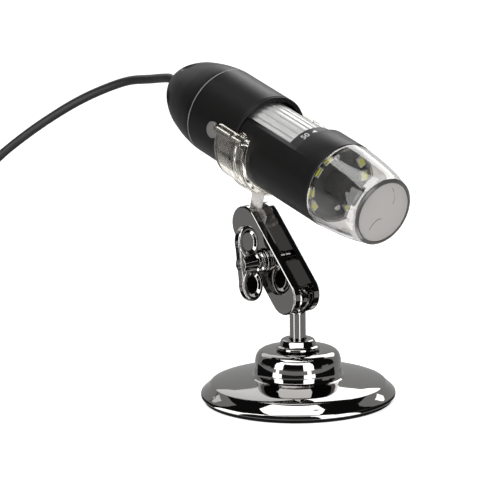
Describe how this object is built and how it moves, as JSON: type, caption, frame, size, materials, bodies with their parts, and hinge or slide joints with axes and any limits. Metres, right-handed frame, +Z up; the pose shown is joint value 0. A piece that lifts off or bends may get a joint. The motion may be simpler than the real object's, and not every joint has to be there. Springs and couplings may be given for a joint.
{
  "type": "usb digital microscope",
  "caption": "Hand-held digital microscope with a clear lamp-ring nose, held in a clip on a two-ball clamp with a wing nut, a short post and a round weighted foot; its cord lies coiled beside it.",
  "frame": {"origin": "centre of the foot pad's underside, on the table", "axes": "+Z up along the post; the nose points towards +X and -Y and slightly down, the cord leaves towards -X"},
  "size_m": [0.2624, 0.1338, 0.1195],
  "materials": {
    "black_pad": "matt foam rubber",
    "dark_chrome": "dark nickel mirror",
    "cast_iron": "rough casting",
    "clear_plastic": "clear, faint cream tint",
    "frosted_plastic": "frosted clear",
    "smoky_plastic": "clear, faint grey tint",
    "black_plastic": "satin black",
    "silver_wheel": "satin silver",
    "inner_plastic": "matt black",
    "lens_glass": "polished",
    "button_plastic": "satin grey",
    "board_black": "black solder mask",
    "board_green": "green solder mask",
    "lamp_yellow": "yellow phosphor",
    "steel": "plated steel",
    "cord_jacket": "satin black jacket",
    "plug_plastic": "satin black",
    "tie_fabric": "woven black hook-and-loop strap",
    "tongue_white": "matt white"
  },
  "bodies": {
    "root": {"foot_pad": "black_pad", "base_shell": "dark_chrome", "ballast": "cast_iron", "collar_nut": "dark_chrome", "usb_coil": "cord_jacket", "cord_tie": "tie_fabric", "plug_relief": "plug_plastic", "plug_body": "plug_plastic", "plug_shell": "steel", "plug_tongue": "tongue_white"},
    "post": {"ball_post": "dark_chrome"},
    "clamp": {"near_plate": "dark_chrome", "far_plate": "dark_chrome", "clamp_screw": "dark_chrome", "clamp_washer": "dark_chrome"},
    "wing": {"wing_nut": "dark_chrome"},
    "stem": {"ball_stem": "frosted_plastic"},
    "clip": {"clip_band": "clear_plastic"},
    "barrel": {"rear_cap": "black_plastic", "rear_shell": "black_plastic", "front_shell": "black_plastic", "nose_cone": "smoky_plastic", "nose_window": "smoky_plastic", "scale_ring": "inner_plastic", "chassis": "inner_plastic", "led_board": "board_black", "led_1": "lamp_yellow", "led_2": "lamp_yellow", "led_3": "lamp_yellow", "led_4": "lamp_yellow", "led_5": "lamp_yellow", "led_6": "lamp_yellow", "led_7": "lamp_yellow", "led_8": "lamp_yellow", "led_screw_1": "steel", "led_screw_2": "steel", "sensor_board": "board_green", "image_sensor": "board_black", "main_board": "board_green", "processor_chip": "board_black", "snap_switch": "board_black", "cord_grommet": "cord_jacket", "usb_lead": "cord_jacket"},
    "focus": {"focus_wheel": "silver_wheel"},
    "lens": {"lens_carriage": "inner_plastic", "front_lens": "lens_glass", "rear_lens": "lens_glass"},
    "button": {"snap_button": "button_plastic"}
  },
  "joints": [
    {"name": "post_swivel", "type": "hinge", "parent": "root", "child": "post", "pos_m": [0, 0, 0], "axis": [0, 0, 1], "range_deg": [-150, 150], "deforming": ["usb_lead"]},
    {"name": "lower_tilt", "type": "hinge", "parent": "post", "child": "clamp", "pos_m": [0, 0, 0.0382], "axis": [0.7654, 0.6436, 0], "range_deg": [-45, 60], "deforming": ["usb_lead"]},
    {"name": "wing_turn", "type": "hinge", "parent": "clamp", "child": "wing", "pos_m": [-0.00791, 0.00941, 0.05128], "axis": [-0.7654, -0.6436, 0], "range_deg": [0, 720]},
    {"name": "upper_tilt", "type": "hinge", "parent": "clamp", "child": "stem", "pos_m": [-0.01582, 0.01881, 0.06437], "axis": [0.7654, 0.6436, 0], "range_deg": [-90, 40], "deforming": ["usb_lead"]},
    {"name": "holder_swivel", "type": "hinge", "parent": "stem", "child": "clip", "pos_m": [-0.01582, 0.01881, 0.06437], "axis": [0.1657, -0.1971, 0.9663], "range_deg": [-90, 90], "deforming": ["usb_lead"]},
    {"name": "barrel_roll", "type": "hinge", "parent": "clip", "child": "barrel", "pos_m": [-0.0105, 0.01248, 0.09539], "axis": [0.6219, -0.7396, -0.2575], "range_deg": [-90, 90], "deforming": ["usb_lead"]},
    {"name": "focus_turn", "type": "hinge", "parent": "barrel", "child": "focus", "pos_m": [-0.0105, 0.01248, 0.09539], "axis": [0.6219, -0.7396, -0.2575], "range_deg": [-135, 135]},
    {"name": "lens_travel", "type": "slide", "parent": "barrel", "child": "lens", "axis": [0.6219, -0.7396, -0.2575], "range_m": [-0.004, 0.004]},
    {"name": "snap_press", "type": "slide", "parent": "barrel", "child": "button", "axis": [0.7531, 0.655, -0.0624], "range_m": [0, 0.0004], "stiffness_N_per_m": 400}
  ],
  "couplings": [
    {"joint": "lens_travel", "follows": "focus_turn", "m_per_rad": 0.00169}
  ]
}
